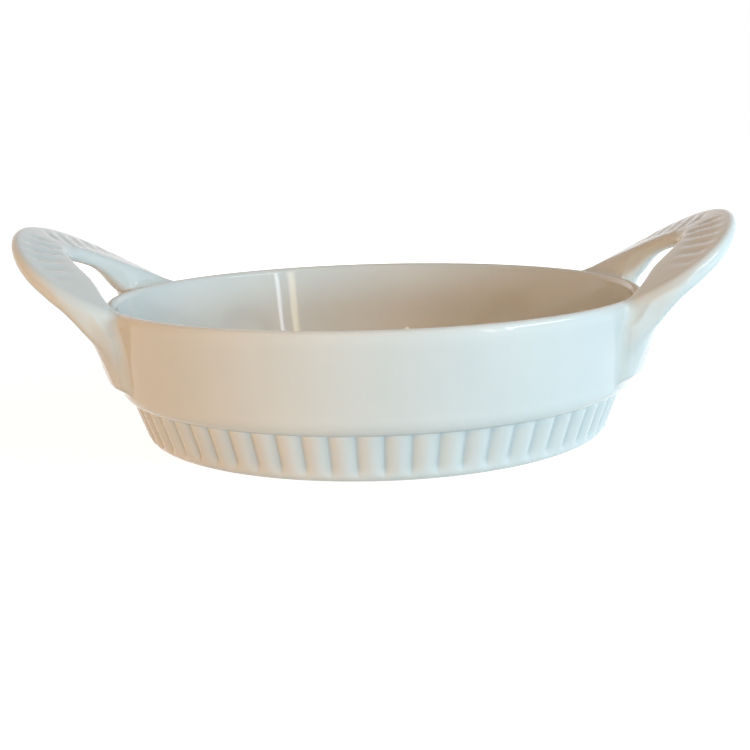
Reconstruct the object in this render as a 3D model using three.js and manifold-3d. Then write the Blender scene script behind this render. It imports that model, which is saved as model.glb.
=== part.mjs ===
// Creme brulee dish: a fluted porcelain bowl with two pierced ear handles, each luted to the wall
// by two legs. Millimetres, +Z up, +X through the handles, z = 0 on the plane of the foot ring.
import * as THREE from "three";
import { mergeVertices } from "three/addons/utils/BufferGeometryUtils.js";
import Module from "manifold-3d";

const wasm = await Module();
wasm.setup();

// Bowl, outside
const RIM_HEIGHT = 33;
const RIM_RADIUS = 64.8;
const LIP_THICKNESS = 2.9;
const SHOULDER_TOP_RADIUS = 62.35; // the plain wall band tapers down to this
const SHOULDER_TOP_HEIGHT = 15;
const SHOULDER_INSET = 2.75; // the rounded shoulder steps in by this to the fluted band
const SHOULDER_DROP = 4.1;
const BAND_TOP = new THREE.Vector2(SHOULDER_TOP_RADIUS - SHOULDER_INSET, SHOULDER_TOP_HEIGHT - SHOULDER_DROP);
const FOOT_TOP_RADIUS = 56.7; // the fluted band tapers down to the foot round-over
const FOOT_TOP_HEIGHT = 2.4;
const FOOT_CORNER_RADIUS = 56.1; // where the round-over's two tangents meet
const FOOT_OUTER_RADIUS = 53.8;
const FOOT_INNER_RADIUS = 50.6;
const FOOT_RECESS = 1;

// Bowl, inside
const FLOOR_HEIGHT = 5;
const FLOOR_RADIUS = 47;
const COVE_TOP_RADIUS = 58.9;
const COVE_TOP_HEIGHT = 16;
const COVE_CORNER_RADIUS = 56.7; // where the inner wall would meet the floor without its cove

// Flutes of the lower band
const FLUTE_COUNT = 64;
const FLUTE_DEPTH = 0.9;
const FLUTE_SIDES = 18;
const FLUTE_RUN = 1.5; // length of a flute's cutting rod as a share of the band's height

// Ear handles: the top face is a tilted plane that arches a little across the dish
const EAR_TILT = THREE.MathUtils.degToRad(28);
const EAR_ROOT_X = 57.5;
const EAR_ROOT_LIFT = 3.3;
const EAR_ARCH = 0.0025; // drop at each side, per square millimetre of y
const EAR_TIP_X = 85.8;
const EAR_EDGE_HEIGHT = 5;
const EDGE_RADIUS = 2.2;
const HOLE_TIP_X = 74.5;
const HOLE_WALL_HEIGHT = 4.8;
const HOLE_EDGE_RADIUS = 1.4;

// Half outlines of the ear and its finger hole in plan, from the rim (0) to the centre line (1)
const EAR_OUTLINE = new THREE.CubicBezierCurve(
  new THREE.Vector2(57.1, 33.1),
  new THREE.Vector2(73.3, 38.2),
  new THREE.Vector2(85.2, 24.2),
  new THREE.Vector2(EAR_TIP_X, 0),
);
const HOLE_OUTLINE = new THREE.CubicBezierCurve(
  new THREE.Vector2(61.5, 20.5),
  new THREE.Vector2(67, 12.6),
  new THREE.Vector2(HOLE_TIP_X, 7.4),
  new THREE.Vector2(HOLE_TIP_X, 0),
);
const EAR_STATIONS = [0.2, 0.36, 0.56, 0.78];

// Handle legs: angles of their sides round the bowl, and points of radius and height from the rim
const LEG_HOLE_ANGLE = THREE.MathUtils.degToRad(17.8);
const LEG_OUTER_ANGLE = THREE.MathUtils.degToRad(29.2);
const LEG_SWEEP = new THREE.CubicBezierCurve(
  new THREE.Vector2(73.4, -1.5),
  new THREE.Vector2(68.3, -4.7),
  new THREE.Vector2(67.6, -10.1),
  new THREE.Vector2(64.6, -17.7),
);
const LEG_STATIONS = [
  { sweep: 1, wall: new THREE.Vector2(61.35, -18) },
  { sweep: 0.72, wall: new THREE.Vector2(61.8, -13) },
  { sweep: 0.4, wall: new THREE.Vector2(62.6, -6.5) },
];
const LEG_ROOT_WALL = new THREE.Vector2(63.8, 0.6); // the root laps over the lip
const LEG_ROOT_OUTER = LEG_SWEEP.getPoint(0.05);
const LEG_ROOT_HOLE = new THREE.Vector2(69.2, -1.8); // the sweep is tighter on the hole's side
const LEG_TOE = new THREE.Vector2(63.6, -18.9); // rounded lower end
const LEG_TOE_WALL = new THREE.Vector2(60.5, -18.9);
const LEG_DRAW_IN = THREE.MathUtils.degToRad(1.2); // the sides draw in by this at both ends
const LEG_EDGE_RADIUS = 1.3;
const LEG_WALL_EDGE_RADIUS = 0.3;

// Grip grooves on the ears
const GROOVE_COUNT = 7;
const GROOVE_DEPTH = 0.5;
const GROOVE_RADIUS = 2.2;
const GROOVE_STRETCH = 0.6; // half length of a groove's scoop as a share of the ear's width there
const GROOVE_FAN = 0.42; // share of the half outline that the fan covers

// Slip seams between the legs and the wall
const SLIP_THICKNESS = 0.6;
const SLIP_MARGIN = 0.7; // the slip squeezes out past the leg by this
const SLIP_CORNER = 2.5;
const SEAT_GAP = 0.1;

const LATHE_SEGMENTS = FLUTE_COUNT; // a facet edge runs up from every flute ridge
const CURVE_STEPS = 3;
const SECTION_STEPS = 3; // rings from one key section of a handle to the next
const CORNER_STEPS = 2;
const SCOOP_SIDES = 12;

const PORCELAIN = { color: 0xf3f2ee, roughness: 0.12, metalness: 0 };
const SLIP = { color: 0xe9e6df, roughness: 0.3, metalness: 0 };

// Turns a closed geometry into a solid that can be joined and cut.
function solidOf(geometry) {
  const bare = geometry.clone();
  bare.deleteAttribute("normal");
  bare.deleteAttribute("uv");
  const merged = mergeVertices(bare);
  return new wasm.Manifold(
    new wasm.Mesh({
      numProp: 3,
      vertProperties: new Float32Array(merged.attributes.position.array),
      triVerts: new Uint32Array(merged.index.array),
    }),
  );
}

// Turns a solid back into a geometry.
function geometryOf(solid) {
  const mesh = solid.getMesh();
  const geometry = new THREE.BufferGeometry();
  geometry.setAttribute("position", new THREE.BufferAttribute(mesh.vertProperties, 3));
  geometry.setIndex(new THREE.BufferAttribute(mesh.triVerts, 1));
  geometry.computeVertexNormals();
  return geometry;
}

// Revolves a profile of radius and height round the dish's axis.
function revolve(path) {
  const lathe = new THREE.LatheGeometry(path.getPoints(CURVE_STEPS), LATHE_SEGMENTS);
  return lathe.rotateX(Math.PI / 2);
}

// Draws the outside from the foot up and round the lip to an angle, pushed outwards by a clearance.
function drawOutside(path, clearance, lipEnd) {
  const lipRadius = LIP_THICKNESS / 2 + clearance;
  const lipCentre = new THREE.Vector2(RIM_RADIUS - LIP_THICKNESS / 2, RIM_HEIGHT - LIP_THICKNESS / 2);
  path.lineTo(FOOT_OUTER_RADIUS, -clearance);
  path.quadraticCurveTo(
    FOOT_CORNER_RADIUS + clearance,
    -clearance,
    FOOT_TOP_RADIUS + clearance,
    FOOT_TOP_HEIGHT,
  );
  path.lineTo(BAND_TOP.x + clearance, BAND_TOP.y - clearance);
  path.absellipse(
    BAND_TOP.x,
    SHOULDER_TOP_HEIGHT,
    SHOULDER_INSET + clearance,
    SHOULDER_DROP + clearance,
    -Math.PI / 2,
    0,
  );
  path.absarc(lipCentre.x, lipCentre.y, lipRadius, 0, lipEnd);
}

// Revolved bowl with a foot ring, a coved floor and the flutes cut into its lower band.
function bowlGeometry() {
  const path = new THREE.Path();
  path.moveTo(0, FOOT_RECESS);
  path.lineTo(FOOT_INNER_RADIUS - FOOT_RECESS, FOOT_RECESS);
  path.lineTo(FOOT_INNER_RADIUS, 0);
  drawOutside(path, 0, Math.PI);
  path.lineTo(COVE_TOP_RADIUS, COVE_TOP_HEIGHT);
  path.quadraticCurveTo(COVE_CORNER_RADIUS, FLOOR_HEIGHT, FLOOR_RADIUS, FLOOR_HEIGHT);
  path.lineTo(0, FLOOR_HEIGHT);
  const bowl = solidOf(revolve(path));
  return geometryOf(fluteCutters().reduce((body, cutter) => body.subtract(cutter), bowl));
}

// One leaning rod per flute: neighbouring rods meet at the sharp ridges of the band.
function fluteCutters() {
  const foot = new THREE.Vector2(FOOT_TOP_RADIUS, FOOT_TOP_HEIGHT);
  const lean = Math.atan2(BAND_TOP.x - foot.x, BAND_TOP.y - foot.y);
  const halfPitch = (BAND_TOP.x * Math.PI) / FLUTE_COUNT;
  const radius = (halfPitch ** 2 + FLUTE_DEPTH ** 2) / (2 * FLUTE_DEPTH);
  const length = BAND_TOP.distanceTo(foot) * FLUTE_RUN;
  const rod = new THREE.CylinderGeometry(radius, radius, length, FLUTE_SIDES);
  rod.rotateX(Math.PI / 2);
  rod.rotateZ(Math.PI / FLUTE_SIDES);
  rod.translate(radius - FLUTE_DEPTH, 0, -length / 2);
  rod.rotateY(lean);
  rod.translate(BAND_TOP.x, 0, BAND_TOP.y);
  return Array.from({ length: FLUTE_COUNT }, (_, i) =>
    solidOf(rod.clone().rotateZ(((i + 0.5) * 2 * Math.PI) / FLUTE_COUNT)),
  );
}

// Turns a point of radius and height from the rim to an angle round the bowl from the +X axis.
function roundBowl(point, angle) {
  return new THREE.Vector3(point.x * Math.cos(angle), point.x * Math.sin(angle), RIM_HEIGHT + point.y);
}

// Point of the ear's top face above a point of its plan.
function onEar(plan) {
  const rise = EAR_ROOT_LIFT + (plan.x - EAR_ROOT_X) * Math.tan(EAR_TILT) - EAR_ARCH * plan.y ** 2;
  return new THREE.Vector3(plan.x, plan.y, RIM_HEIGHT + rise);
}

// Rounds the corners of a four-sided section and returns its ring of points.
function roundedSection(corners, radii) {
  return corners.flatMap((corner, i) => {
    const toLast = corners[(i + 3) % 4].clone().sub(corner).setLength(radii[i]);
    const toNext = corners[(i + 1) % 4].clone().sub(corner).setLength(radii[i]);
    const bend = new THREE.QuadraticBezierCurve3(toLast.add(corner), corner, toNext.add(corner));
    return bend.getPoints(CORNER_STEPS);
  });
}

// Section through the ear at a share of its half outline: hole edge, outer edge, then their undersides.
function earSection(share) {
  const holeTop = onEar(HOLE_OUTLINE.getPoint(share));
  const edgeTop = onEar(EAR_OUTLINE.getPoint(share));
  const edgeUnder = edgeTop.clone().setZ(edgeTop.z - EAR_EDGE_HEIGHT);
  const holeUnder = holeTop.clone().setZ(holeTop.z - HOLE_WALL_HEIGHT);
  return roundedSection(
    [holeTop, edgeTop, edgeUnder, holeUnder],
    [HOLE_EDGE_RADIUS, EDGE_RADIUS, EDGE_RADIUS, HOLE_EDGE_RADIUS],
  );
}

// Section through a leg: its outer and wall points, its outer point on the hole's side where that differs,
// and how far its sides draw in.
function legSection(outer, wall, holeOuter = outer, drawIn = 0) {
  const holeAngle = LEG_HOLE_ANGLE + drawIn;
  const outerAngle = LEG_OUTER_ANGLE - drawIn;
  return roundedSection(
    [
      roundBowl(wall, holeAngle),
      roundBowl(wall, outerAngle),
      roundBowl(outer, outerAngle),
      roundBowl(holeOuter, holeAngle),
    ],
    [LEG_WALL_EDGE_RADIUS, LEG_WALL_EDGE_RADIUS, LEG_EDGE_RADIUS, LEG_EDGE_RADIUS],
  );
}

// Loft through key sections, smoothed along every line of points, and closed with flat ends.
function loft(keys) {
  const lines = keys[0].map((_, j) => {
    const points = keys.map((key) => key[j]);
    return new THREE.CatmullRomCurve3(points, false, "centripetal");
  });
  const steps = (keys.length - 1) * SECTION_STEPS;
  const rings = Array.from({ length: steps + 1 }, (_, i) => lines.map((line) => line.getPoint(i / steps)));
  const count = lines.length;
  const index = [];
  for (let i = 0; i < steps; i++) {
    for (let j = 0; j < count; j++) {
      const a = i * count + j;
      const b = i * count + ((j + 1) % count);
      index.push(a, a + count, b, b, a + count, b + count);
    }
  }
  for (let j = 1; j < count - 1; j++) {
    index.push(0, j, j + 1);
    index.push(steps * count, steps * count + j + 1, steps * count + j);
  }
  const geometry = new THREE.BufferGeometry().setFromPoints(rings.flat());
  return geometry.setIndex(index);
}

// The same section on the other side of the handle's centre line.
function mirrored(section) {
  return section.map((point) => new THREE.Vector3(point.x, -point.y, point.z));
}

// Outside of the bowl filled solid and pushed out by a clearance: what a handle or its slip seats on.
function seat(clearance) {
  const path = new THREE.Path();
  path.moveTo(0, -clearance);
  drawOutside(path, clearance, Math.PI / 2);
  path.lineTo(0, RIM_HEIGHT + clearance);
  return solidOf(revolve(path));
}

// Long scoops that fan out over the ear's top face from the finger hole to the edge.
function grooveCutters() {
  const scoop = new THREE.SphereGeometry(GROOVE_RADIUS, SCOOP_SIDES, SCOOP_SIDES / 2);
  const up = new THREE.Vector3(-Math.sin(EAR_TILT), 0, Math.cos(EAR_TILT));
  const middle = (GROOVE_COUNT - 1) / 2;
  return Array.from({ length: GROOVE_COUNT }, (_, i) => {
    const fan = (i - middle) / middle;
    const share = 1 - GROOVE_FAN * Math.abs(fan);
    const mirror = new THREE.Vector3(1, fan < 0 ? -1 : 1, 1);
    const holeTop = onEar(HOLE_OUTLINE.getPoint(share)).multiply(mirror);
    const along = onEar(EAR_OUTLINE.getPoint(share)).multiply(mirror).sub(holeTop);
    const across = new THREE.Vector3().crossVectors(up, along).normalize();
    const frame = new THREE.Matrix4().makeBasis(
      along.clone().multiplyScalar(GROOVE_STRETCH / GROOVE_RADIUS),
      across,
      new THREE.Vector3().crossVectors(along, across).normalize(),
    );
    const centre = holeTop.addScaledVector(along, 0.5).addScaledVector(up, GROOVE_RADIUS - GROOVE_DEPTH);
    frame.setPosition(centre);
    return solidOf(scoop.clone().applyMatrix4(frame));
  });
}

// One handle, lofted from the toe of one leg round the ear to the toe of the other.
function handleGeometry() {
  const half = [
    legSection(LEG_TOE, LEG_TOE_WALL, LEG_TOE, LEG_DRAW_IN),
    ...LEG_STATIONS.map(({ sweep, wall }) => legSection(LEG_SWEEP.getPoint(sweep), wall)),
    legSection(LEG_ROOT_OUTER, LEG_ROOT_WALL, LEG_ROOT_HOLE, LEG_DRAW_IN),
    ...EAR_STATIONS.map(earSection),
  ];
  const whole = solidOf(loft([...half, earSection(1), ...half.map(mirrored).reverse()]));
  const seated = whole.subtract(seat(SLIP_THICKNESS + 2 * SEAT_GAP));
  return geometryOf(grooveCutters().reduce((ear, cutter) => ear.subtract(cutter), seated));
}

// Bed of slip under one leg, on the side of the centre line given by the sign of y.
function slipGeometry(side) {
  const halfWidth = RIM_RADIUS * Math.sin((LEG_OUTER_ANGLE - LEG_HOLE_ANGLE) / 2) + SLIP_MARGIN;
  const cornerX = halfWidth - SLIP_CORNER;
  const cornerY = RIM_HEIGHT + LEG_TOE.y - SLIP_MARGIN + SLIP_CORNER;
  const outline = new THREE.Shape();
  outline.moveTo(-halfWidth, RIM_HEIGHT);
  outline.lineTo(-halfWidth, cornerY);
  outline.absarc(-cornerX, cornerY, SLIP_CORNER, Math.PI, 1.5 * Math.PI);
  outline.absarc(cornerX, cornerY, SLIP_CORNER, 1.5 * Math.PI, 2 * Math.PI);
  outline.lineTo(halfWidth, RIM_HEIGHT);
  const block = new THREE.ExtrudeGeometry(outline, {
    depth: RIM_RADIUS + LIP_THICKNESS,
    bevelEnabled: false,
    curveSegments: CURVE_STEPS,
  });
  block.rotateX(Math.PI / 2);
  block.rotateZ((side * (LEG_HOLE_ANGLE + LEG_OUTER_ANGLE)) / 2 + Math.PI / 2);
  const layer = seat(SEAT_GAP + SLIP_THICKNESS).subtract(seat(SEAT_GAP));
  return geometryOf(layer.intersect(solidOf(block)));
}

const group = new THREE.Group();

function addPiece(name, geometry, finish, turn = 0) {
  const piece = new THREE.Mesh(geometry, new THREE.MeshStandardMaterial(finish));
  piece.name = name;
  piece.rotation.z = turn;
  group.add(piece);
}

addPiece("dish_body", bowlGeometry(), PORCELAIN);
addPiece("right_handle", handleGeometry(), PORCELAIN);
addPiece("right_handle_front_slip", slipGeometry(-1), SLIP);
addPiece("right_handle_rear_slip", slipGeometry(1), SLIP);
addPiece("left_handle", handleGeometry(), PORCELAIN, Math.PI);
addPiece("left_handle_front_slip", slipGeometry(1), SLIP, Math.PI);
addPiece("left_handle_rear_slip", slipGeometry(-1), SLIP, Math.PI);

export default group;
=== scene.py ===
"""Glazed porcelain creme brulee dish with a ribbed lower band and two pierced ear handles.

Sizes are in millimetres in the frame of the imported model: +X through the handles, +Z up, and z = 0 on
the plane of the foot ring. Meshes are scaled to metres when they are made.
"""

from __future__ import annotations

import itertools
import logging
import math
from collections.abc import Callable, Sequence
from dataclasses import dataclass
from enum import Enum
from typing import Any

import bpy
import numpy as np
from mathutils import Matrix, Vector

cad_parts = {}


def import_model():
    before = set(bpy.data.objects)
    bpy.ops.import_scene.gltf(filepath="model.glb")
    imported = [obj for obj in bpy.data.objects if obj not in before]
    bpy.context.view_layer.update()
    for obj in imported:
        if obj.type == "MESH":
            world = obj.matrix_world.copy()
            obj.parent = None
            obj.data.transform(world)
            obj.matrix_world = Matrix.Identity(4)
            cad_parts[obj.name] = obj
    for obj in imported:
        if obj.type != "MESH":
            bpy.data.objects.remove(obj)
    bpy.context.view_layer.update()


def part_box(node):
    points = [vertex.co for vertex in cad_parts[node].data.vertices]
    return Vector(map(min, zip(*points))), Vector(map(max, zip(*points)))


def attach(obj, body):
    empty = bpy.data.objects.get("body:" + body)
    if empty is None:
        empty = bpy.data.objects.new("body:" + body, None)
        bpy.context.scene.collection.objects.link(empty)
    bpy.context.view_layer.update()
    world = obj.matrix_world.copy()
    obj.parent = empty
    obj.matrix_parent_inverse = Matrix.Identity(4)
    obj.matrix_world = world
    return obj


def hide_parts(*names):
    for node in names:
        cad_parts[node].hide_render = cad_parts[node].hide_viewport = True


Point = tuple[float, float]  # place in a plan or a section
Span = tuple[float, float]  # start and end of a range
Corner = tuple[float, float, float]
Field = Callable[[np.ndarray, np.ndarray, np.ndarray], np.ndarray]  # signed distance at x, y and z

LOG = logging.getLogger("creme_brulee_dish")
MM = 0.001
BODY = "root"
IMAGE_SIDE = 750  # pixels along each side of the picture
GLAZE_DEPTH_AND_SHADE = "glaze_depth_and_shade"  # 0 where the glaze is pulled thin, 1 where it pools; pooling mixes in a darker colour that is partly painted shade in hollows
EVEN_DEPTH = 0.25  # the glaze's depth on an even face
BISCUIT = "bare_biscuit"  # 1 where the kiln foot is wiped clean of glaze
CELL_CORNERS = np.array(list(itertools.product((0, 1), repeat=3)))
SETTLE_STEPS = 3
SETTLE_REACH = 0.02  # millimetres over which the slope of a distance field is read
SETTLE_STEEPNESS = 0.25  # least squared slope that a point is settled by


class Side(Enum):
    """Side of the dish that a handle is on, as its turn about the Z axis."""

    RIGHT = 0.0
    LEFT = math.pi


def linear(code: str) -> tuple[float, float, float, float]:
    """Turn an sRGB hex colour into linear RGBA.

    Args:
        code: Colour such as "#F2F1EC".

    Returns:
        Linear red, green, blue and an alpha of 1.
    """
    channels = [int(code[i : i + 2], 16) / 255 for i in (1, 3, 5)]
    red, green, blue = (c / 12.92 if c <= 0.04045 else ((c + 0.055) / 1.055) ** 2.4 for c in channels)
    return red, green, blue, 1.0


def add_node(
    tree: bpy.types.NodeTree,
    kind: str,
    settings: dict[str, Any] | None = None,
    inputs: dict[str | int, Any] | None = None,
) -> bpy.types.Node:
    """Add a node, set its properties, and set or link its inputs.

    Args:
        tree: Node tree that takes the node.
        kind: Node type, such as "ShaderNodeTexNoise".
        settings: Properties of the node by name.
        inputs: Value or output socket for each input by name or index.

    Returns:
        The new node.
    """
    node = tree.nodes.new(kind)
    for name, value in (settings or {}).items():
        setattr(node, name, value)
    for key, value in (inputs or {}).items():
        if isinstance(value, bpy.types.NodeSocket):
            tree.links.new(value, node.inputs[key])
        else:
            node.inputs[key].default_value = value
    return node


def smoothstep(low: float, high: float, value: np.ndarray) -> np.ndarray:
    """Ease from 0 at low to 1 at high."""
    share = np.clip((value - low) / (high - low), 0.0, 1.0)
    return share * share * (3.0 - 2.0 * share)


def bezier(controls: Sequence[Point], share: np.ndarray) -> np.ndarray:
    """Return points of a Bezier curve.

    Args:
        controls: Control points of the curve.
        share: How far along the curve each point is, from 0 to 1.

    Returns:
        One row for each point.
    """
    degree = len(controls) - 1
    along = share[:, None]
    terms = (math.comb(degree, i) * along**i * (1 - along) ** (degree - i) for i in range(degree + 1))
    return sum(term * np.array(point) for term, point in zip(terms, controls))


def loop_distance(loop: np.ndarray, x: np.ndarray, y: np.ndarray) -> np.ndarray:
    """Measure the signed distance in a plane to a closed loop.

    Args:
        loop: Points of the loop in order, as rows of x and y.
        x: Places to measure from, along x.
        y: Places to measure from, along y.

    Returns:
        Distance to the loop, negative inside it.
    """
    x, y = np.broadcast_arrays(x, y)
    nearest = np.full(x.shape, np.inf)
    inside = np.zeros(x.shape, dtype=bool)
    for (ax, ay), (bx, by) in zip(loop, np.roll(loop, -1, axis=0)):
        run, rise = bx - ax, by - ay
        share = np.clip(((x - ax) * run + (y - ay) * rise) / (run**2 + rise**2), 0.0, 1.0)
        nearest = np.minimum(nearest, (x - ax - share * run) ** 2 + (y - ay - share * rise) ** 2)
        if ay != by:
            inside ^= ((ay > y) != (by > y)) & (x < ax + (y - ay) / rise * run)
    return np.where(inside, -1.0, 1.0) * np.sqrt(nearest)


def rounded_meet(radius: float, *fields: np.ndarray) -> np.ndarray:
    """Intersect distance fields, with the edges where they meet rounded.

    Args:
        radius: Radius of the rounded edges.
        *fields: Signed distances at the same places.

    Returns:
        Signed distance to what the fields share.
    """
    moved = [field + radius for field in fields]
    beyond = np.sqrt(sum(np.maximum(field, 0.0) ** 2 for field in moved))
    deepest = moved[0]
    for field in moved[1:]:
        deepest = np.maximum(deepest, field)
    return np.minimum(deepest, 0.0) + beyond - radius


def filleted_join(width: float | np.ndarray, first: np.ndarray, second: np.ndarray) -> np.ndarray:
    """Join two distance fields, with a fillet where they are within a width of each other."""
    share = np.clip(0.5 + 0.5 * (second - first) / width, 0.0, 1.0)
    return second + (first - second) * share - width * share * (1.0 - share)


def net_points(values: np.ndarray) -> tuple[np.ndarray, np.ndarray]:
    """Place a point in each cell of a grid that the zero surface passes through.

    Args:
        values: Signed distance at each point of the grid.

    Returns:
        Points in cells from the corner of the grid, and the number of the point in each cell, or -1.
    """
    inner = [tuple(slice(o, o + n - 1) for o, n in zip(corner, values.shape)) for corner in CELL_CORNERS]
    count = sum((values[part] < 0).astype(int) for part in inner)
    places = np.argwhere((count > 0) & (count < len(CELL_CORNERS)))
    ids = np.full(tuple(n - 1 for n in values.shape), -1)
    ids[tuple(places.T)] = np.arange(len(places))
    total = np.zeros((len(places), 3))
    crossings = np.zeros((len(places), 1))
    for a, b in itertools.combinations(CELL_CORNERS, 2):
        if np.abs(a - b).sum() != 1:
            continue
        start, stop = values[tuple((places + a).T)], values[tuple((places + b).T)]
        cut = (start < 0) != (stop < 0)
        share = np.where(cut, start / np.where(cut, start - stop, 1.0), 0.0)[:, None]
        total += np.where(cut[:, None], a + (b - a) * share, 0.0)
        crossings += cut[:, None]
    return places + total / crossings, ids


def settle(points: np.ndarray, field: Field, limit: float) -> np.ndarray:
    """Move points onto the zero surface of a distance field.

    Args:
        points: Points near the surface.
        field: Distance field.
        limit: How far a point may move in one step.

    Returns:
        The moved points.
    """
    probes = SETTLE_REACH * np.eye(3)
    for _ in range(SETTLE_STEPS):
        slope = np.stack([field(*(points + p).T) - field(*(points - p).T) for p in probes], axis=1)
        slope /= 2 * SETTLE_REACH
        push = field(*points.T) / np.maximum((slope**2).sum(axis=1), SETTLE_STEEPNESS)
        points = points - np.clip(push, -limit, limit)[:, None] * slope
    return points


def net_quads(values: np.ndarray, ids: np.ndarray) -> np.ndarray:
    """Join the points of the cells round each edge of the grid that the zero surface cuts.

    Args:
        values: Signed distance at each point of the grid.
        ids: Number of the point in each cell.

    Returns:
        Point numbers of quads that face outwards.
    """
    quads = []
    for axis in range(3):
        along, beside, above = (np.eye(3, dtype=int)[(axis + i) % 3] for i in range(3))
        near = [slice(1, -1)] * 3
        near[axis] = slice(0, -1)
        far = list(near)
        far[axis] = slice(1, None)
        start, stop = values[tuple(near)] < 0, values[tuple(far)] < 0
        edges = np.argwhere(start != stop)
        leaving = start[tuple(edges.T)]
        base = edges + 1 - along
        around = [base - beside - above, base - above, base, base - beside]
        quad = np.stack([ids[tuple(spot.T)] for spot in around], axis=1)
        quads.append(np.where(leaving[:, None], quad, quad[:, ::-1]))
    return np.concatenate(quads)


def skin_field(field: Field, low: np.ndarray, high: np.ndarray, cell: float) -> tuple[np.ndarray, np.ndarray]:
    """Mesh the zero surface of a distance field with surface nets.

    Args:
        field: Distance field.
        low: Lower corner of the box to mesh in.
        high: Upper corner of the box.
        cell: Side of a cell of the grid.

    Returns:
        Points in millimetres, and quads that face outwards.
    """
    axes = [np.arange(a, b + cell, cell) for a, b in zip(low, high)]
    values = field(*np.meshgrid(*axes, indexing="ij", sparse=True))
    values = np.broadcast_to(values, tuple(len(axis) for axis in axes))
    places, ids = net_points(values)
    return settle(low + cell * places, field, cell / 2), net_quads(values, ids)


def add_mesh(
    name: str,
    points: np.ndarray,
    faces: list[tuple[int, ...]],
    marks: dict[str, np.ndarray],
) -> bpy.types.Object:
    """Add a smooth mesh with a value at each point for each mark.

    Args:
        name: Name of the object and its mesh.
        points: Points in millimetres.
        faces: Point numbers of each face.
        marks: Value for each point, by attribute name.

    Returns:
        The new object, linked into the scene.
    """
    mesh = bpy.data.meshes.new(name)
    mesh.from_pydata((points * MM).tolist(), [], faces)
    for mark, values in marks.items():
        mesh.attributes.new(mark, "FLOAT", "POINT").data.foreach_set("value", values.astype(np.float32))
    mesh.shade_smooth()
    piece = bpy.data.objects.new(name, mesh)
    bpy.context.scene.collection.objects.link(piece)
    return piece


def dress(piece: bpy.types.Object, finish: bpy.types.Material, slot: str, *nodes: str) -> None:
    """Give a piece its finish and say which CAD nodes it stands for.

    Args:
        piece: Piece to dress.
        finish: Material of its whole surface.
        slot: Material slot of the record; not used.
        *nodes: CAD nodes that the piece replaces.
    """
    piece.data.materials.append(finish)
    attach(piece, BODY)
    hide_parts(*nodes)
    LOG.info("%s: %d faces, stands for %s", piece.name, len(piece.data.polygons), ", ".join(nodes))


class Pen:
    """Draws a half section of radius and height as a run of points."""

    def __init__(self, radius: float, height: float) -> None:
        """Start the section at a point."""
        self.points: list[Point] = [(radius, height)]

    def line(self, radius: float, height: float, steps: int = 1, gathered: bool = False) -> None:
        """Draw a straight line to a point.

        Args:
            radius: Radius of the point.
            height: Height of the point.
            steps: Number of steps along the line.
            gathered: Whether the steps are shorter towards both ends of the line, and else equal.
        """
        share = np.arange(1, steps + 1) / steps
        if gathered:
            share = (1 - np.cos(math.pi * share)) / 2
        start, end = np.array(self.points[-1]), np.array([radius, height])
        self.points += [tuple(start + (end - start) * s) for s in share]

    def bend(self, corner: Point, end: Point, steps: int) -> None:
        """Draw a parabola to a point, tangent to the lines that meet at a corner."""
        self.points += [tuple(p) for p in bezier((self.points[-1], corner, end), np.arange(1, steps + 1) / steps)]

    def arc(self, centre: Point, radii: Point, span: Span, steps: int) -> None:
        """Draw an arc on from the point that the pen is at.

        Args:
            centre: Centre of the ellipse that the arc is part of.
            radii: Its half axes along radius and height.
            span: First and last angle in radians, from the radius axis.
            steps: Number of steps along the arc.
        """
        for angle in np.linspace(*span, steps + 1)[1:]:
            self.points.append((centre[0] + radii[0] * math.cos(angle), centre[1] + radii[1] * math.sin(angle)))

    def rows(self) -> np.ndarray:
        """Return the section as an array of radius and height."""
        return np.array(self.points)


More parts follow.
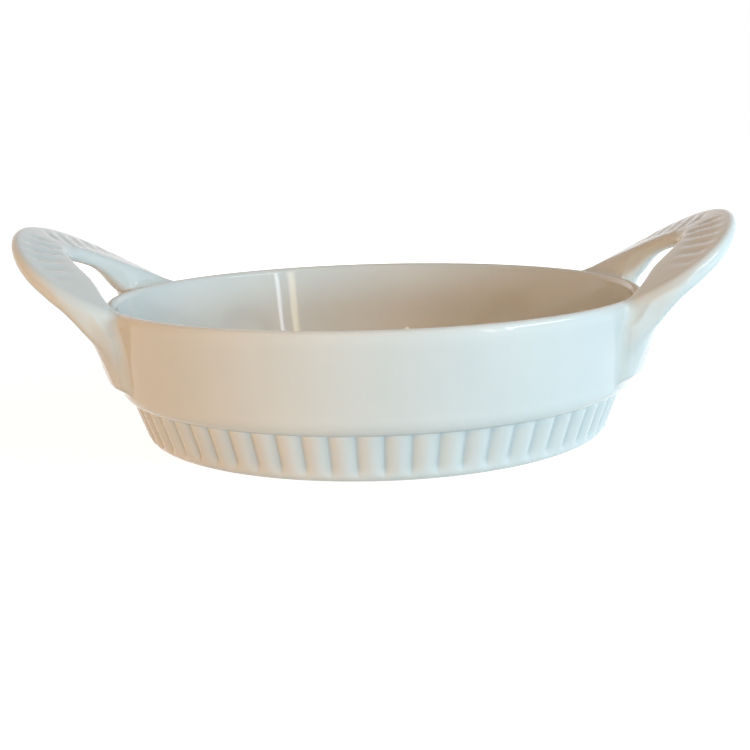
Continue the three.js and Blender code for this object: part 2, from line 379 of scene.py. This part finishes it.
@dataclass(frozen=True)
class GlazedPorcelain:
    """Hard-paste porcelain, slip cast, dipped in clear glaze and fired to a full gloss.

    To the eye it is a near-white body under a mirror-smooth coat. The glaze pulls thin on edges, where the body shows
    a little warmer, pools a little cooler in hollows, and ripples slightly like orange peel. The pooled colour is
    darker than pooling alone makes it, as painted shade in the hollows.
    The kiln foot is wiped bare to matt biscuit.
    """

    name: str
    thin_hex: str = "#F2EFE8"
    # Darker than pooled glaze alone: partly painted shade in valleys and grooves.
    pool_shade_hex: str = "#D2D6D4"
    biscuit_hex: str = "#DDD6C8"
    ior: float = 1.52
    roughness: float = 0.06
    biscuit_roughness: float = 0.7
    cloud_mm: float = 26.0  # patches of slightly thicker and thinner glaze
    cloud_depth: float = 0.3  # how much deeper or thinner the glaze is there
    ripple_mm: float = 7.0
    ripple_height_mm: float = 0.012

    def build(self) -> bpy.types.Material:
        """Make the finish.

        Returns:
            The finish as a material.
        """
        material = bpy.data.materials.new(self.name)
        material.use_nodes = True
        tree = material.node_tree
        tree.nodes.clear()
        place = add_node(tree, "ShaderNodeTexCoord").outputs["Object"]
        depth = add_node(tree, "ShaderNodeAttribute", {"attribute_name": GLAZE_DEPTH_AND_SHADE}).outputs["Fac"]
        bare = add_node(tree, "ShaderNodeAttribute", {"attribute_name": BISCUIT}).outputs["Fac"]
        clouds = add_node(
            tree,
            "ShaderNodeTexNoise",
            inputs={"Vector": place, "Scale": 1 / (self.cloud_mm * MM), "Detail": 3.0},
        ).outputs["Fac"]
        patchy = add_node(
            tree,
            "ShaderNodeMapRange",
            inputs={"Value": clouds, "To Min": -self.cloud_depth, "To Max": self.cloud_depth},
        ).outputs["Result"]
        # Deeper glaze mixes towards the darker pooled colour, which is partly painted shade.
        pool_and_shade = add_node(
            tree, "ShaderNodeMath", {"operation": "ADD", "use_clamp": True}, {0: depth, 1: patchy}
        ).outputs[0]
        glaze = add_node(
            tree,
            "ShaderNodeMix",
            {"data_type": "RGBA"},
            {0: pool_and_shade, 6: linear(self.thin_hex), 7: linear(self.pool_shade_hex)},
        ).outputs[2]
        colour = add_node(
            tree, "ShaderNodeMix", {"data_type": "RGBA"}, {0: bare, 6: glaze, 7: linear(self.biscuit_hex)}
        ).outputs[2]
        gloss = add_node(
            tree,
            "ShaderNodeMapRange",
            inputs={"Value": bare, "To Min": self.roughness, "To Max": self.biscuit_roughness},
        ).outputs["Result"]
        ripple = add_node(
            tree,
            "ShaderNodeTexNoise",
            inputs={"Vector": place, "Scale": 1 / (self.ripple_mm * MM), "Detail": 1.0},
        ).outputs["Fac"]
        bump = add_node(
            tree,
            "ShaderNodeBump",
            inputs={"Height": ripple, "Strength": 1.0, "Distance": self.ripple_height_mm * MM},
        ).outputs["Normal"]
        shader = add_node(
            tree,
            "ShaderNodeBsdfPrincipled",
            inputs={"Base Color": colour, "Roughness": gloss, "IOR": self.ior, "Normal": bump},
        ).outputs["BSDF"]
        add_node(tree, "ShaderNodeOutputMaterial", inputs={"Surface": shader})
        return material


@dataclass
class Bowl:
    """Bowl with a foot ring, a ribbed band, a rounded shoulder, a plain wall and a rounded lip."""

    rim_radius: float
    rim_height: float
    lip_thickness: float = 2.9
    lip_drop: float = 3.4  # height over which the outside rounds over into the lip
    lip_swell: float = 0.05  # how far the lip swells over the top of the wall
    lip_steps: int = 16
    lip_thinning: float = 1.2  # the glaze pulls thin from this far below the crest
    shoulder_radius: float = 62.35
    shoulder_height: float = 15.0
    shoulder_inset: float = 2.75
    shoulder_drop: float = 4.1
    foot_top: Point = (56.7, 2.4)
    foot_corner: float = 56.1
    foot_outer: float = 53.8
    foot_inner: float = 50.6
    foot_recess: float = 1.0
    foot_edge: float = 0.5
    bare_margin: float = 0.4  # how far the bare ring reaches past the flat of the foot
    bare_height: float = 0.05
    floor_height: float = 5.0
    floor_radius: float = 47.0
    cove_top: Point = (58.9, 16.0)
    cove_corner: float = 56.7
    pole_radius: float = 3.0
    rib_count: int = 64
    valley_depth: float = 1.15
    valley_stations: tuple[float, ...] = (0.05, 0.12, 0.26, 0.46, 0.72)  # shares of the way to the crest
    valley_fade: Span = (0.7, 3.4)  # heights over which the valleys run out above the foot
    valley_ledge: float = 0.22  # height of the glaze fillet under the shoulder
    valley_fill: float = 0.06  # the glaze fills each valley up by this
    fill_power: int = 8  # how closely it keeps to the bottom of the valley
    valley_pool_shade: float = 0.75  # how much deeper the glaze is there, which paints the valleys darker as painted shade

    def crest_radius(self) -> float:
        """Return the radius of the lip's crest."""
        return self.rim_radius - self.lip_thickness / 2

    def band_top(self) -> Point:
        """Return the radius and height at which the shoulder meets the ribbed band."""
        return self.shoulder_radius - self.shoulder_inset, self.shoulder_height - self.shoulder_drop

    def wall_radius(self, height: float) -> float:
        """Return the outside radius of the plain wall at a height."""
        share = (height - self.shoulder_height) / (self.rim_height - self.lip_drop - self.shoulder_height)
        return self.shoulder_radius + share * (self.rim_radius - self.lip_swell - self.shoulder_radius)

    def lip_curve(self) -> np.ndarray:
        """Draw the outside of the lip, from the wall to the crest.

        Returns:
            Rows of radius and height.
        """
        wall_top = self.rim_height - self.lip_drop
        controls = (
            (self.wall_radius(wall_top), wall_top),
            (self.wall_radius(self.rim_height), self.rim_height),
            (self.crest_radius(), self.rim_height),
        )
        return bezier(controls, np.linspace(0.0, 1.0, self.lip_steps + 1))

    def section(self) -> tuple[np.ndarray, int, int]:
        """Draw the half section from the middle of the underside to the middle of the floor.

        Returns:
            Rows of radius and height, and the rows at which the outside starts and ends below the shoulder.
        """
        band_radius, band_height = self.band_top()
        recess_radius = self.foot_inner - self.foot_recess
        lip = self.lip_thickness / 2
        pen = Pen(self.pole_radius, self.foot_recess)
        pen.line(recess_radius - self.foot_edge, self.foot_recess, 3)
        pen.bend(
            (recess_radius, self.foot_recess),
            (self.foot_inner - self.foot_recess / 2, self.foot_recess / 2),
            5,
        )
        pen.bend((self.foot_inner, 0.0), (self.foot_inner + self.foot_edge, 0.0), 5)
        start = len(pen.points)
        pen.line(self.foot_outer, 0.0, 4)
        pen.bend((self.foot_corner, 0.0), self.foot_top, 10)
        pen.line(band_radius, band_height - 2 * self.valley_ledge, 12)
        pen.line(band_radius, band_height, 8)
        end = len(pen.points)
        pen.arc(
            (band_radius, self.shoulder_height),
            (self.shoulder_inset, self.shoulder_drop),
            (-math.pi / 2, 0.0),
            18,
        )
        wall_top, *lip_points = self.lip_curve()
        pen.line(*wall_top, 6, gathered=True)
        for point in lip_points:
            pen.line(*point)
        pen.arc((self.crest_radius(), self.rim_height - lip), (lip, lip), (math.pi / 2, math.pi), 10)
        pen.line(*self.cove_top, 6, gathered=True)
        pen.bend((self.cove_corner, self.floor_height), (self.floor_radius, self.floor_height), 20)
        pen.line(self.pole_radius, self.floor_height, 3)
        return pen.rows(), start, end

    def build(self, finish: bpy.types.Material) -> None:
        """Add the bowl as one closed mesh, and dress it.

        Args:
            finish: Material of its whole surface.
        """
        rows, start, end = self.section()
        radius, height = rows[:, 0], rows[:, 1]
        sides = np.array(self.valley_stations)
        across = np.concatenate([[-1.0], -sides[::-1], [0.0], sides])
        pitch = 2 * math.pi / self.rib_count
        angles = ((np.arange(self.rib_count)[:, None] + 0.5 + across / 2) * pitch).ravel()
        valley = np.tile((1 - np.abs(across)) ** 2, self.rib_count)
        fill = self.valley_fill / self.valley_depth * valley**self.fill_power
        _, band_height = self.band_top()
        weight = smoothstep(*self.valley_fade, height)
        weight *= 1 - smoothstep(band_height - self.valley_ledge, band_height, height)
        index = np.arange(len(rows))
        weight[(index < start) | (index >= end)] = 0.0
        carved = radius[:, None] - self.valley_depth * weight[:, None] * (valley - fill)
        heights = np.broadcast_to(height[:, None], carved.shape)
        rings = np.stack([carved * np.cos(angles), carved * np.sin(angles), heights], axis=-1)
        lip_top = smoothstep(self.rim_height - self.lip_thinning, self.rim_height, height)
        # Deeper glaze in the valleys darkens them: pooled glaze, partly painted shade.
        depth = EVEN_DEPTH * (1 - lip_top[:, None]) + self.valley_pool_shade * weight[:, None] * valley**2
        on_ring = (radius > self.foot_inner) & (radius < self.foot_outer + self.bare_margin)
        on_ring &= height < self.bare_height
        bare = np.broadcast_to(on_ring[:, None].astype(float), carved.shape)
        ids = np.arange(carved.size).reshape(carved.shape)
        beside = np.roll(ids, -1, axis=1)
        walls = np.stack([ids[:-1], beside[:-1], beside[1:], ids[1:]], axis=-1).reshape(-1, 4)
        poles = [tuple(ids[0, ::-1].tolist()), tuple(ids[-1].tolist())]
        marks = {GLAZE_DEPTH_AND_SHADE: depth.ravel(), BISCUIT: bare.ravel()}
        piece = add_mesh("porcelain_bowl", rings.reshape(-1, 3), walls.tolist() + poles, marks)
        dress(piece, finish, "porcelain_glaze", "dish_body")

    def outside(self, radius: np.ndarray, height: np.ndarray) -> np.ndarray:
        """Measure the distance to the outside of the bowl, as if it were full and stood on a post.

        Args:
            radius: Radii to measure at.
            height: Heights to measure at.

        Returns:
            Distance, negative within the outside of the wall and lip.
        """
        band_radius, _ = self.band_top()
        turn = np.linspace(0.0, math.pi / 2, 9)
        shoulder = np.stack(
            [
                band_radius + self.shoulder_inset * np.cos(turn),
                self.shoulder_height - self.shoulder_drop * np.sin(turn),
            ],
            axis=-1,
        )
        post = np.array([[band_radius, -self.rim_height], [0.0, -self.rim_height], [0.0, self.rim_height]])
        return loop_distance(np.concatenate([self.lip_curve()[::-1], shoulder, post]), radius, height)


@dataclass
class EarHandle:
    """Pierced ear on two legs, modelled as one distance field on the +X side of the bowl.

    The lengths of the ear's outline and hole are in plan, and the heights are from the level of the rim.
    """

    bowl: Bowl
    tilt: float = math.radians(28.0)
    root_x: float = 57.5
    root_lift: float = 3.27
    arch: float = 0.0025
    outline: tuple[Point, ...] = ((57.1, 33.1), (73.3, 38.2), (85.2, 24.2), (85.8, 0.0))
    hole: tuple[Point, ...] = ((61.5, 20.5), (67.0, 12.6), (74.5, 7.4), (74.5, 0.0))
    loop_steps: int = 40
    hole_corner: float = 2.5
    hole_thinning: float = 1.0  # the ear is thinner by this at the hole
    hole_taper: float = 9.0
    root_start: float = 8.0  # distance from the centre line at which the underside starts to deepen
    root_bend: float = 0.055  # how it deepens from there, per millimetre squared
    root_depth: float = 4.0
    root_fade: Span = (69.0, 76.0)  # radii over which the deepening runs out
    edge_height: float = 5.0
    edge_round: float = 2.0
    hole_round: float = 1.6
    dip_radius: float = 64.2  # where the top face has come down to the rim
    dip_slope: float = 2.5
    dip_blend: float = 1.5
    leg_middle: float = math.radians(23.5)
    leg_half_angle: float = math.radians(5.7)
    leg_sweep: tuple[Point, ...] = ((72.3, -1.5), (68.0, -4.7), (67.7, -10.1), (64.9, -17.7))
    sweep_steps: int = 24
    leg_flare: float = 8.0  # the sweep runs straight on by this above its upper end
    leg_hole_reach: float = 70.5  # the sweep is tighter on the hole's side
    leg_toe: float = -17.9
    leg_round: float = 1.1
    leg_slope: float = math.radians(25.0)  # lean of the side away from the hole, low on the leg
    leg_turn: Span = (-3.0, -10.0)  # heights over which this side comes to lean
    leg_shoulder: float = 3.0  # radius that this side rounds over into the outer face with
    hole_fillet: float = 6.5
    edge_fillet: float = 2.0
    fillet_turn: Span = (-1.2, 0.6)  # where across a leg the first fillet gives way to the second
    flush_fillet: float = 7.0  # the second fillet near the wall
    flush_reach: Span = (66.5, 71.0)  # radii between which it shrinks to the edge's own
    sink: float = 1.2  # how far the handle reaches into the wall
    slip_fillet: float = 2.6
    slip_bite: float = 0.6  # how far the slip reaches into what it joins
    slip_feather: float = 0.05  # the slip dives under the faces that it joins by this
    slip_depth: float = 0.35  # the glaze's depth on the slip; above the even depth, so the fillet is a little darker, partly as painted shade in the crease
    groove_pitch: float = 5.0
    groove_depth: float = 0.42
    groove_lean: float = 0.55  # how far a groove runs out for each millimetre to the side
    groove_bend: float = 1.5  # how strongly the grooves bend out of the middle line
    groove_blunt: float = 0.5  # how far from the middle line that bend is blunted
    groove_middle: Span = (1.0, 5.0)  # the grooves start between these distances from the middle line
    groove_reach: Span = (65.0, 73.0)  # and along the ear between these
    groove_inner: Span = (-13.0, -8.5)  # distances from the outline between which they come in
    groove_outer: Span = (-5.5, -1.8)  # and those between which they run out
    groove_pool_shade: float = 0.4  # how much deeper the glaze is in a groove, which paints the groove darker as painted shade
    ear_box: tuple[Corner, Corner] = ((50.0, -40.0, -22.0), (90.0, 40.0, 20.0))
    slip_box: tuple[Corner, Corner] = ((46.0, 14.0, -24.0), (70.0, 40.0, 4.0))  # round the leg at +Y
    cell: float = 0.45
    slip_cell: float = 0.3

    def half_loop(self, points: tuple[Point, ...]) -> np.ndarray:
        """Return the closed loop of a half outline, its mirror image and the middle of the bowl."""
        half = bezier(points, np.linspace(0.0, 1.0, self.loop_steps + 1))
        return np.concatenate([[[0.0, 0.0]], half, half[-2::-1] * np.array([1.0, -1.0])])

    def edge_distance(self, x: np.ndarray, y: np.ndarray) -> np.ndarray:
        """Return the distance in plan to the ear's outline, negative inside it."""
        return loop_distance(self.half_loop(self.outline), x, y)

    def leg_across(self, x: np.ndarray, y: np.ndarray) -> np.ndarray:
        """Return where places lie across a leg, from -1 at the hole's side to 1 at the other."""
        return (np.abs(np.arctan2(y, x)) - self.leg_middle) / self.leg_half_angle

    def grooves(self, x: np.ndarray, y: np.ndarray, edge: np.ndarray) -> np.ndarray:
        """Measure how deep the grip grooves are.

        Args:
            x, y: Places in plan.
            edge: Distance to the ear's outline there.

        Returns:
            Depth, from 0 between the grooves to 1.
        """
        away = np.abs(y)
        run = x - self.groove_lean * away - self.groove_bend * np.log(away + self.groove_blunt)
        waves = np.cos(math.pi * run / self.groove_pitch) ** 2 * smoothstep(*self.groove_middle, away)
        band = smoothstep(*self.groove_inner, edge) * (1 - smoothstep(*self.groove_outer, edge))
        return waves * band * smoothstep(*self.groove_reach, x)

    def ear(
        self, x: np.ndarray, y: np.ndarray, z: np.ndarray, edge: np.ndarray
    ) -> tuple[np.ndarray, np.ndarray]:
        """Measure the distance to the ear with its hole, and to its top face.

        Args:
            x, y, z: Places to measure at.
            edge: Distance to the ear's outline there.

        Returns:
            Both distances, negative inside the ear and under its top face.
        """
        radius = np.hypot(x, y)
        plane = self.root_lift + (x - self.root_x) * math.tan(self.tilt) - self.arch * y**2
        dip = (radius - self.dip_radius) * self.dip_slope
        top = filleted_join(self.dip_blend, plane, dip) - self.groove_depth * self.grooves(x, y, edge)
        height = z - self.bowl.rim_height
        over = (height - top) * math.cos(self.tilt)
        deep = np.minimum(self.root_bend * np.maximum(np.abs(y) - self.root_start, 0.0) ** 2, self.root_depth)
        deep = deep * (1 - smoothstep(*self.root_fade, radius))
        side = radius * self.leg_half_angle * (self.leg_across(x, y) + 1)
        hole = rounded_meet(self.hole_corner, loop_distance(self.half_loop(self.hole), x, y), side)
        thin = self.hole_thinning * (1 - smoothstep(0.0, self.hole_taper, hole))
        under = (plane - self.edge_height + thin - deep - height) * math.cos(self.tilt)
        slab = np.maximum(over, under)
        plate = np.maximum(rounded_meet(self.edge_round, slab, edge), rounded_meet(self.hole_round, slab, -hole))
        return plate, over

    def legs(self, x: np.ndarray, y: np.ndarray, z: np.ndarray, edge: np.ndarray) -> np.ndarray:
        """Measure the distance to the two legs.

        Args:
            x, y, z: Places to measure at.
            edge: Distance to the ear's outline there.

        Returns:
            Distance, negative inside the legs.
        """
        sweep = bezier(self.leg_sweep, np.linspace(1.0, 0.0, self.sweep_steps + 1))
        last = sweep[-1] - sweep[-2]
        sweep = np.concatenate([sweep, [sweep[-1] + self.leg_flare * last / np.linalg.norm(last)]])
        height = z - self.bowl.rim_height
        radius = np.hypot(x, y)
        across = self.leg_across(x, y)
        reach = np.interp(height, sweep[:, 1], sweep[:, 0])
        tight = np.minimum(reach, self.leg_hole_reach)
        reach = tight + (reach - tight) * smoothstep(-1.0, 1.0, across)
        lean = np.interp(height, sweep[:, 1], np.gradient(sweep[:, 0], sweep[:, 1]))
        outer = (radius - reach) / np.sqrt(1 + lean**2)
        hole_side = -radius * self.leg_half_angle * (across + 1)
        rise = (radius - self.bowl.rim_radius) * math.tan(self.leg_slope) * smoothstep(*self.leg_turn, height)
        edge_side = (radius * self.leg_half_angle * (across - 1) + rise) * math.cos(self.leg_slope)
        crown = rounded_meet(self.leg_shoulder, outer, edge_side)
        return rounded_meet(self.leg_round, crown, hole_side, self.leg_toe - height, edge)

    def whole(self, x: np.ndarray, y: np.ndarray, z: np.ndarray) -> np.ndarray:
        """Measure the distance to the handle, as if it ran on into the bowl.

        Args:
            x, y, z: Places to measure at.

        Returns:
            Distance, negative inside the handle.
        """
        edge = self.edge_distance(x, y)
        plate, over = self.ear(x, y, z, edge)
        flush = 1 - smoothstep(*self.flush_reach, np.hypot(x, y))
        edge_fillet = self.edge_fillet + (self.flush_fillet - self.edge_fillet) * flush
        turn = smoothstep(*self.fillet_turn, self.leg_across(x, y))
        width = self.hole_fillet + (edge_fillet - self.hole_fillet) * turn
        legs = np.maximum(self.legs(x, y, z, edge), over + width)
        return filleted_join(width, plate, legs)

    def over_bowl(self, x: np.ndarray, y: np.ndarray, z: np.ndarray) -> np.ndarray:
        """Return how far places lie within the space inside the rim, which no handle may fill."""
        below = self.bowl.rim_height - self.bowl.lip_thickness
        return np.minimum(self.bowl.crest_radius() - np.hypot(x, y), z - below)

    def seated(self, x: np.ndarray, y: np.ndarray, z: np.ndarray) -> np.ndarray:
        """Return the distance to the handle as it ends within the wall, negative inside it."""
        within = np.maximum(-self.sink - self.bowl.outside(np.hypot(x, y), z), self.over_bowl(x, y, z))
        return np.maximum(self.whole(x, y, z), within)

    def slip(self, x: np.ndarray, y: np.ndarray, z: np.ndarray) -> np.ndarray:
        """Measure the distance to the fillet of slip between the handle and the wall.

        Args:
            x, y, z: Places to measure at.

        Returns:
            Distance, negative inside the slip.
        """
        handle = self.whole(x, y, z)
        wall = self.bowl.outside(np.hypot(x, y), z)
        bead = filleted_join(self.slip_fillet, handle, wall) + self.slip_feather
        near = np.abs(handle - wall) - self.slip_fillet - self.slip_bite
        bite = np.maximum(-self.slip_bite - handle, -self.slip_bite - wall)
        return np.maximum(np.maximum(bead, near), np.maximum(bite, self.over_bowl(x, y, z)))

    def build(self, porcelain: bpy.types.Material, slip: bpy.types.Material) -> None:
        """Add the handles and slip seams of both sides, and dress them.

        Args:
            porcelain: Finish of the handles.
            slip: Finish of the seams.
        """
        rim = np.array([0.0, 0.0, self.bowl.rim_height])
        ear, ear_quads = skin_field(self.seated, *(np.array(self.ear_box) + rim), self.cell)
        bead, bead_quads = skin_field(self.slip, *(np.array(self.slip_box) + rim), self.slip_cell)
        x, y, _ = ear.T
        # Deeper glaze in the grooves darkens them: pooled glaze, partly painted shade.
        pool_and_shade = self.groove_pool_shade * self.grooves(x, y, self.edge_distance(x, y))
        ear_marks = {GLAZE_DEPTH_AND_SHADE: EVEN_DEPTH + pool_and_shade, BISCUIT: np.zeros(len(ear))}
        bead_marks = {GLAZE_DEPTH_AND_SHADE: np.full(len(bead), self.slip_depth), BISCUIT: np.zeros(len(bead))}
        mirrored = bead * np.array([1.0, -1.0, 1.0])
        for side in Side:
            turn = np.array(Matrix.Rotation(side.value, 3, "Z")).T
            node = f"{side.name.lower()}_handle"
            piece = add_mesh(f"{node}_porcelain", ear @ turn, ear_quads.tolist(), ear_marks)
            dress(piece, porcelain, "porcelain_glaze", node)
            ends = ("front", "rear") if side is Side.RIGHT else ("rear", "front")
            beads = ((mirrored, bead_quads[:, ::-1]), (bead, bead_quads))
            for end, (points, quads) in zip(ends, beads):
                seam = f"{node}_{end}_slip"
                piece = add_mesh(f"{seam}_porcelain", points @ turn, quads.tolist(), bead_marks)
                dress(piece, slip, "slip_seam", seam)


@dataclass(frozen=True)
class Lamp:
    """Rectangular lamp that faces the dish."""

    name: str
    azimuth: float  # degrees to the right of the front of the dish
    elevation: float  # degrees above the horizon
    size: tuple[float, float]
    power: float  # watts
    colour: str
    mirrored: bool = False  # whether the glaze mirrors it
    distance: float = 550.0

    def build(self, target: Vector) -> None:
        """Add the lamp.

        Args:
            target: Place that it faces, in millimetres.
        """
        data = bpy.data.lights.new(self.name, "AREA")
        data.shape = "RECTANGLE"
        data.size, data.size_y = self.size[0] * MM, self.size[1] * MM
        data.energy = self.power
        data.color = linear(self.colour)[:3]
        turn, lift = math.radians(self.azimuth), math.radians(self.elevation)
        away = Vector((math.sin(turn) * math.cos(lift), -math.cos(turn) * math.cos(lift), math.sin(lift)))
        lamp = bpy.data.objects.new(self.name, data)
        lamp.location = (target + away * self.distance) * MM
        lamp.rotation_euler = away.to_track_quat("Z", "Y").to_euler()
        lamp.visible_camera = False
        lamp.visible_glossy = self.mirrored
        bpy.context.scene.collection.objects.link(lamp)


@dataclass
class Studio:
    """White paper sweep in a white surround, lit warm from the left, cool from the right and softly from behind.

    Four narrow strips are all that the glaze mirrors of the lamps.
    """

    target: Vector
    floor_side: float = 6000.0
    paper_hex: str = "#C9C7C2"
    shade_radii: Span = (90.0, 260.0)  # the paper shows its shadows within these
    shade_glow: float = 0.86
    surround: float = 0.1  # strength of the surround's light on the dish
    lamps: tuple[Lamp, ...] = (
        Lamp("warm_front", -20.0, 22.0, (300.0, 150.0), 0.7, "#FFBC5C"),
        Lamp("warm_side", -68.0, 4.0, (300.0, 70.0), 0.62, "#FFBE60"),
        Lamp("cool_window", 55.0, 12.0, (300.0, 150.0), 0.66, "#B0E2FF"),
        Lamp("cool_low", 16.0, 3.5, (300.0, 64.0), 1.1, "#ACE2FF"),
        Lamp("cool_side", 105.0, 12.0, (300.0, 150.0), 0.75, "#C0E8FF"),
        Lamp("ceiling", 0.0, 80.0, (300.0, 300.0), 0.14, "#FFE3B4"),
        Lamp("back", 180.0, 5.0, (420.0, 90.0), 1.35, "#FFF2E0"),
        Lamp("cream_strip", 46.0, 18.0, (34.0, 280.0), 0.14, "#FFF0C4", mirrored=True),
        Lamp("blue_strip", 54.0, 14.0, (18.0, 160.0), 0.07, "#E8F2FF", mirrored=True),
        Lamp("rim_strip", 70.0, 25.0, (280.0, 64.0), 0.55, "#E4F4FF", mirrored=True),
        Lamp("front_strip", -17.0, 24.0, (16.0, 60.0), 0.02, "#FFF4E0", mirrored=True),
    )

    def seen(self, tree: bpy.types.NodeTree) -> bpy.types.NodeSocket:
        """Tell what the camera sees, also in or through the glaze, from what only lights the dish.

        Args:
            tree: Node tree of the floor or the world.

        Returns:
            A socket that is 1 for what is seen and else 0.
        """
        path = add_node(tree, "ShaderNodeLightPath").outputs
        seen = path["Is Camera Ray"]
        for ray in ("Is Glossy Ray", "Is Transmission Ray"):
            seen = add_node(tree, "ShaderNodeMath", {"operation": "MAXIMUM"}, {0: seen, 1: path[ray]}).outputs[0]
        return seen

    def paper(self) -> bpy.types.Material:
        """Make the paper of the sweep: white to the eye, with the soft shadows round the dish kept.

        Returns:
            The paper as a material.
        """
        material = bpy.data.materials.new("white_paper_sweep")
        material.use_nodes = True
        tree = material.node_tree
        tree.nodes.clear()
        place = add_node(tree, "ShaderNodeNewGeometry").outputs["Position"]
        radius = add_node(tree, "ShaderNodeVectorMath", {"operation": "LENGTH"}, {0: place}).outputs["Value"]
        near, far = self.shade_radii
        glow = add_node(
            tree,
            "ShaderNodeMapRange",
            {"interpolation_type": "SMOOTHSTEP"},
            {"Value": radius, "From Min": near * MM, "From Max": far * MM, "To Min": self.shade_glow, "To Max": 1.0},
        ).outputs["Result"]
        sheet = add_node(tree, "ShaderNodeBsdfDiffuse", inputs={"Color": linear(self.paper_hex)}).outputs[0]
        white = add_node(tree, "ShaderNodeEmission", inputs={"Strength": glow}).outputs[0]
        bright = add_node(tree, "ShaderNodeAddShader", inputs={0: sheet, 1: white}).outputs[0]
        paper = add_node(tree, "ShaderNodeMixShader", inputs={0: self.seen(tree), 1: sheet, 2: bright}).outputs[0]
        add_node(tree, "ShaderNodeOutputMaterial", inputs={"Surface": paper})
        return material

    def build(self) -> None:
        """Add the floor, the lamps and the world."""
        half = self.floor_side / 2 * MM
        mesh = bpy.data.meshes.new("studio_floor")
        mesh.from_pydata([(-half, -half, 0), (half, -half, 0), (half, half, 0), (-half, half, 0)], [], [(0, 1, 2, 3)])
        mesh.materials.append(self.paper())
        floor = bpy.data.objects.new("studio_floor", mesh)
        bpy.context.scene.collection.objects.link(floor)
        for lamp in self.lamps:
            lamp.build(self.target)
        world = bpy.data.worlds.new("white_surround")
        bpy.context.scene.world = world
        world.use_nodes = True
        tree = world.node_tree
        tree.nodes.clear()
        strength = add_node(
            tree, "ShaderNodeMapRange", inputs={"Value": self.seen(tree), "To Min": self.surround, "To Max": 1.0}
        ).outputs["Result"]
        sky = add_node(tree, "ShaderNodeBackground", inputs={"Color": (1, 1, 1, 1), "Strength": strength}).outputs[0]
        add_node(tree, "ShaderNodeOutputWorld", inputs={"Surface": sky})


@dataclass
class PhotoCamera:
    """Camera that sees the dish as the photograph does."""

    bowl: Bowl
    distance: float = 300.0  # from the centre of the rim
    azimuth: float = math.radians(1.6)
    elevation: float = math.radians(7.05)
    roll: float = math.radians(1.62)
    focal_pixels: float = 1221.0
    rim_pixel: Point = (373.8, 290.1)  # where the centre of the rim lands
    sensor: float = 36.0
    clip_start: float = 10.0

    def build(self) -> None:
        """Add the camera and make it the scene's own."""
        rim = Vector((0.0, 0.0, self.bowl.rim_height))
        back = Vector((0.0, -math.cos(self.elevation), math.sin(self.elevation)))
        aim, right = -back, Vector((1.0, 0.0, 0.0))
        up = right.cross(aim)
        across, down = (pixel - IMAGE_SIDE / 2 for pixel in self.rim_pixel)
        cosine, sine = math.cos(self.roll), math.sin(self.roll)
        yaw = math.atan2(cosine * across - sine * down, self.focal_pixels)
        pitch = math.atan2(-(sine * across + cosine * down), self.focal_pixels)
        aim, up = math.cos(pitch) * aim - math.sin(pitch) * up, math.sin(pitch) * aim + math.cos(pitch) * up
        aim, right = math.cos(yaw) * aim - math.sin(yaw) * right, math.cos(yaw) * right + math.sin(yaw) * aim
        right, up = cosine * right - sine * up, sine * right + cosine * up
        turn = Matrix.Rotation(self.azimuth, 3, "Z")
        axes = Matrix([turn @ right, turn @ up, turn @ -aim]).transposed()
        data = bpy.data.cameras.new("photo_camera")
        data.sensor_width = self.sensor
        data.lens = self.focal_pixels / IMAGE_SIDE * self.sensor
        data.clip_start = self.clip_start * MM
        camera = bpy.data.objects.new("photo_camera", data)
        camera.matrix_world = Matrix.Translation((rim + turn @ back * self.distance) * MM) @ axes.to_4x4()
        bpy.context.scene.collection.objects.link(camera)
        bpy.context.scene.camera = camera


def main() -> None:
    """Build the dish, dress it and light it."""
    logging.basicConfig(level=logging.INFO, format="%(message)s")
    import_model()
    bpy.context.scene.view_settings.view_transform = "Standard"
    _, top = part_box("dish_body")
    bowl = Bowl(rim_radius=top.x / MM, rim_height=top.z / MM)
    PhotoCamera(bowl).build()
    Studio(Vector((0.0, 0.0, bowl.rim_height / 2))).build()
    porcelain = GlazedPorcelain("glazed_porcelain").build()
    # The slip's darker pooled colour is partly painted shade in the crease where handle meets wall.
    slip = GlazedPorcelain("glazed_slip", thin_hex="#F0ECE3", pool_shade_hex="#D0D4D1").build()
    bowl.build(porcelain)
    EarHandle(bowl).build(porcelain, slip)


if __name__ == "__main__":
    main()
